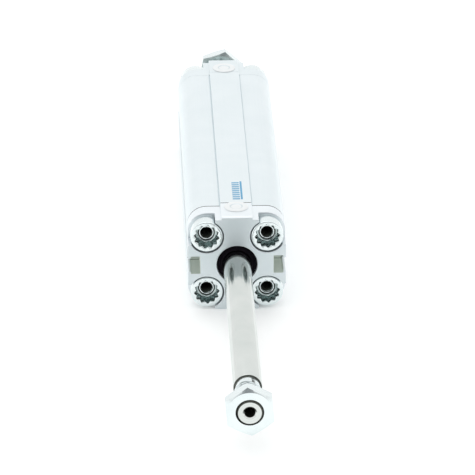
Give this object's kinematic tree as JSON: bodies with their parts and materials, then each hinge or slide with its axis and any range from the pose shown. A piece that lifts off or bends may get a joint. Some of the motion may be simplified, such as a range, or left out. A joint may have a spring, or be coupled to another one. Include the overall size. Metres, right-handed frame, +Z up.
{
  "type": "pneumatic cylinder",
  "caption": "Compact square-profile pneumatic cylinder with a sliding through rod threaded at both ends, thin nuts, top air ports and side sensor slots.",
  "frame": {"origin": "on the ground under the middle of the rod's length, where the piston's middle stands at rest", "axes": "+Y runs along the bore towards the rear, -Y is the front rod end, +Z is up through the ports, +X is to the right seen from the front"},
  "size_m": [0.0356, 0.306, 0.0373],
  "materials": {
    "anodised_aluminium": "fine satin, clear anodised",
    "machined_aluminium": "satin, blasted and machined",
    "zinc_plated_steel": "bright blue-white zinc plating",
    "hard_chrome": "ground and polished",
    "sintered_bronze": "matt, oil filled",
    "bonded_magnet": "matt",
    "black_rubber": "matt",
    "guide_plastic": "matt",
    "white_plastic": "smooth moulded"
  },
  "bodies": {
    "housing": {"barrel": "anodised_aluminium", "front_cap": "machined_aluminium", "front_cap_seal": "black_rubber", "front_port_plug": "white_plastic", "front_rod_bush": "sintered_bronze", "front_rod_seal": "black_rubber", "front_rod_wiper": "black_rubber", "front_screw_lower_left": "zinc_plated_steel", "front_screw_lower_right": "zinc_plated_steel", "front_screw_upper_left": "zinc_plated_steel", "front_screw_upper_right": "zinc_plated_steel", "rear_cap": "machined_aluminium", "rear_cap_seal": "black_rubber", "rear_port_plug": "white_plastic", "rear_rod_bush": "sintered_bronze", "rear_rod_seal": "black_rubber", "rear_rod_wiper": "black_rubber", "rear_screw_lower_left": "zinc_plated_steel", "rear_screw_lower_right": "zinc_plated_steel", "rear_screw_upper_left": "zinc_plated_steel", "rear_screw_upper_right": "zinc_plated_steel"},
    "piston": {"front_bumper": "black_rubber", "front_retaining_ring": "zinc_plated_steel", "piston_front_half": "machined_aluminium", "piston_front_seal": "black_rubber", "piston_guide_ring": "guide_plastic", "piston_magnet": "bonded_magnet", "piston_o_ring": "black_rubber", "piston_rear_half": "machined_aluminium", "piston_rear_seal": "black_rubber", "rear_bumper": "black_rubber", "rear_retaining_ring": "zinc_plated_steel"},
    "rod": {"piston_rod": "hard_chrome"},
    "front_nut": {"front_nut": "zinc_plated_steel"},
    "rear_nut": {"rear_nut": "zinc_plated_steel"}
  },
  "joints": [
    {"name": "rod_slide", "type": "slide", "parent": "housing", "child": "piston", "axis": [0, -1, 0], "range_m": [-0.091, 0.009]},
    {"name": "rod_turn", "type": "hinge", "parent": "piston", "child": "rod", "pos_m": [0, 0, 0.01775], "axis": [0, -1, 0], "continuous": true},
    {"name": "front_nut_turn", "type": "hinge", "parent": "rod", "child": "front_nut", "pos_m": [0, -0.1502, 0.01775], "axis": [0, -1, 0], "continuous": true},
    {"name": "rear_nut_turn", "type": "hinge", "parent": "rod", "child": "rear_nut", "pos_m": [0, 0.1502, 0.01775], "axis": [0, 1, 0], "continuous": true}
  ]
}
